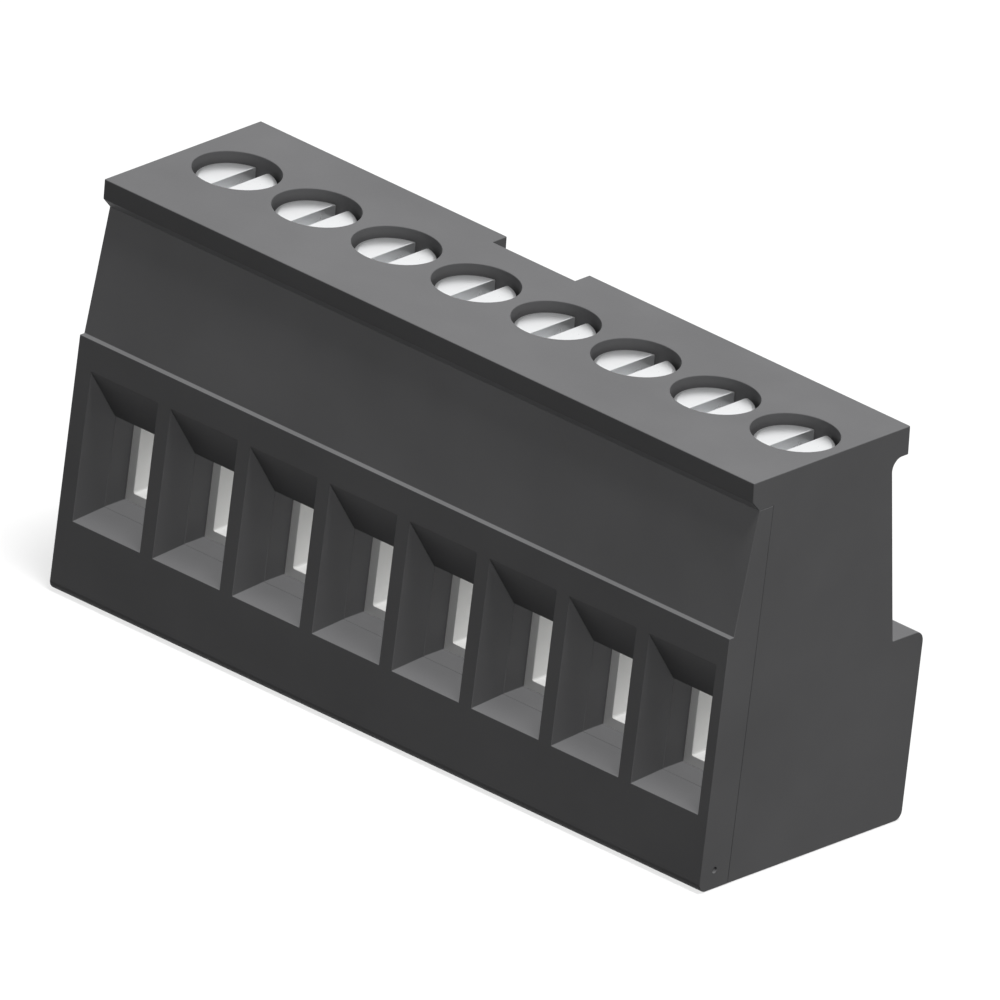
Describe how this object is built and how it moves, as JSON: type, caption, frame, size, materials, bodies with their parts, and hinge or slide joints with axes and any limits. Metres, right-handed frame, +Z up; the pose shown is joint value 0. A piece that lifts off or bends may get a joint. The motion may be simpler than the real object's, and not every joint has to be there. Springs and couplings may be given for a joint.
{
  "type": "pluggable screw terminal block",
  "caption": "Pluggable terminal block with slotted clamp screws on top, tapered wire funnels in front, rising clamping cages inside and pin sockets underneath.",
  "frame": {"origin": "centre of the block's footprint, on its underside", "axes": "+X along the row of poles, +Y from the wire side to the rear of the foot, +Z up to the screw heads"},
  "size_m": [0.0414, 0.0146, 0.0214],
  "materials": {
    "housing_plastic": "fine moulded texture, dark grey polyamide",
    "cover_plastic": "fine moulded texture, dark grey polyamide",
    "zinc_steel": "turned steel, bright zinc plated",
    "nickel_brass": "drawn brass bar, nickel plated",
    "tinned_bronze": "stamped bronze strip, matt tin plated"
  },
  "bodies": {
    "block": {"housing": "housing_plastic", "front_cover": "cover_plastic", "contact_1": "tinned_bronze", "contact_2": "tinned_bronze", "contact_3": "tinned_bronze", "contact_4": "tinned_bronze", "contact_5": "tinned_bronze", "contact_6": "tinned_bronze", "contact_7": "tinned_bronze", "contact_8": "tinned_bronze"},
    "screw_1": {"screw_1": "zinc_steel"},
    "cage_1": {"clamp_cage_1": "nickel_brass"},
    "screw_2": {"screw_2": "zinc_steel"},
    "cage_2": {"clamp_cage_2": "nickel_brass"},
    "screw_3": {"screw_3": "zinc_steel"},
    "cage_3": {"clamp_cage_3": "nickel_brass"},
    "screw_4": {"screw_4": "zinc_steel"},
    "cage_4": {"clamp_cage_4": "nickel_brass"},
    "screw_5": {"screw_5": "zinc_steel"},
    "cage_5": {"clamp_cage_5": "nickel_brass"},
    "screw_6": {"screw_6": "zinc_steel"},
    "cage_6": {"clamp_cage_6": "nickel_brass"},
    "screw_7": {"screw_7": "zinc_steel"},
    "cage_7": {"clamp_cage_7": "nickel_brass"},
    "screw_8": {"screw_8": "zinc_steel"},
    "cage_8": {"clamp_cage_8": "nickel_brass"}
  },
  "joints": [
    {"name": "screw_1_turn", "type": "hinge", "parent": "block", "child": "screw_1", "pos_m": [-0.01762, -0.00081, 0.0209], "axis": [0, 0, -1], "range_deg": [0, 2484]},
    {"name": "cage_1_rise", "type": "slide", "parent": "block", "child": "cage_1", "axis": [0, 0, 1], "range_m": [0, 0.00345]},
    {"name": "screw_2_turn", "type": "hinge", "parent": "block", "child": "screw_2", "pos_m": [-0.01254, -0.00081, 0.0209], "axis": [0, 0, -1], "range_deg": [0, 2484]},
    {"name": "cage_2_rise", "type": "slide", "parent": "block", "child": "cage_2", "axis": [0, 0, 1], "range_m": [0, 0.00345]},
    {"name": "screw_3_turn", "type": "hinge", "parent": "block", "child": "screw_3", "pos_m": [-0.00746, -0.00081, 0.0209], "axis": [0, 0, -1], "range_deg": [0, 2484]},
    {"name": "cage_3_rise", "type": "slide", "parent": "block", "child": "cage_3", "axis": [0, 0, 1], "range_m": [0, 0.00345]},
    {"name": "screw_4_turn", "type": "hinge", "parent": "block", "child": "screw_4", "pos_m": [-0.00238, -0.00081, 0.0209], "axis": [0, 0, -1], "range_deg": [0, 2484]},
    {"name": "cage_4_rise", "type": "slide", "parent": "block", "child": "cage_4", "axis": [0, 0, 1], "range_m": [0, 0.00345]},
    {"name": "screw_5_turn", "type": "hinge", "parent": "block", "child": "screw_5", "pos_m": [0.0027, -0.00081, 0.0209], "axis": [0, 0, -1], "range_deg": [0, 2484]},
    {"name": "cage_5_rise", "type": "slide", "parent": "block", "child": "cage_5", "axis": [0, 0, 1], "range_m": [0, 0.00345]},
    {"name": "screw_6_turn", "type": "hinge", "parent": "block", "child": "screw_6", "pos_m": [0.00778, -0.00081, 0.0209], "axis": [0, 0, -1], "range_deg": [0, 2484]},
    {"name": "cage_6_rise", "type": "slide", "parent": "block", "child": "cage_6", "axis": [0, 0, 1], "range_m": [0, 0.00345]},
    {"name": "screw_7_turn", "type": "hinge", "parent": "block", "child": "screw_7", "pos_m": [0.01286, -0.00081, 0.0209], "axis": [0, 0, -1], "range_deg": [0, 2484]},
    {"name": "cage_7_rise", "type": "slide", "parent": "block", "child": "cage_7", "axis": [0, 0, 1], "range_m": [0, 0.00345]},
    {"name": "screw_8_turn", "type": "hinge", "parent": "block", "child": "screw_8", "pos_m": [0.01794, -0.00081, 0.0209], "axis": [0, 0, -1], "range_deg": [0, 2484]},
    {"name": "cage_8_rise", "type": "slide", "parent": "block", "child": "cage_8", "axis": [0, 0, 1], "range_m": [0, 0.00345]}
  ],
  "couplings": [
    {"joint": "screw_1_turn", "follows": "cage_1_rise", "rad_per_m": 12566},
    {"joint": "screw_2_turn", "follows": "cage_2_rise", "rad_per_m": 12566},
    {"joint": "screw_3_turn", "follows": "cage_3_rise", "rad_per_m": 12566},
    {"joint": "screw_4_turn", "follows": "cage_4_rise", "rad_per_m": 12566},
    {"joint": "screw_5_turn", "follows": "cage_5_rise", "rad_per_m": 12566},
    {"joint": "screw_6_turn", "follows": "cage_6_rise", "rad_per_m": 12566},
    {"joint": "screw_7_turn", "follows": "cage_7_rise", "rad_per_m": 12566},
    {"joint": "screw_8_turn", "follows": "cage_8_rise", "rad_per_m": 12566}
  ]
}
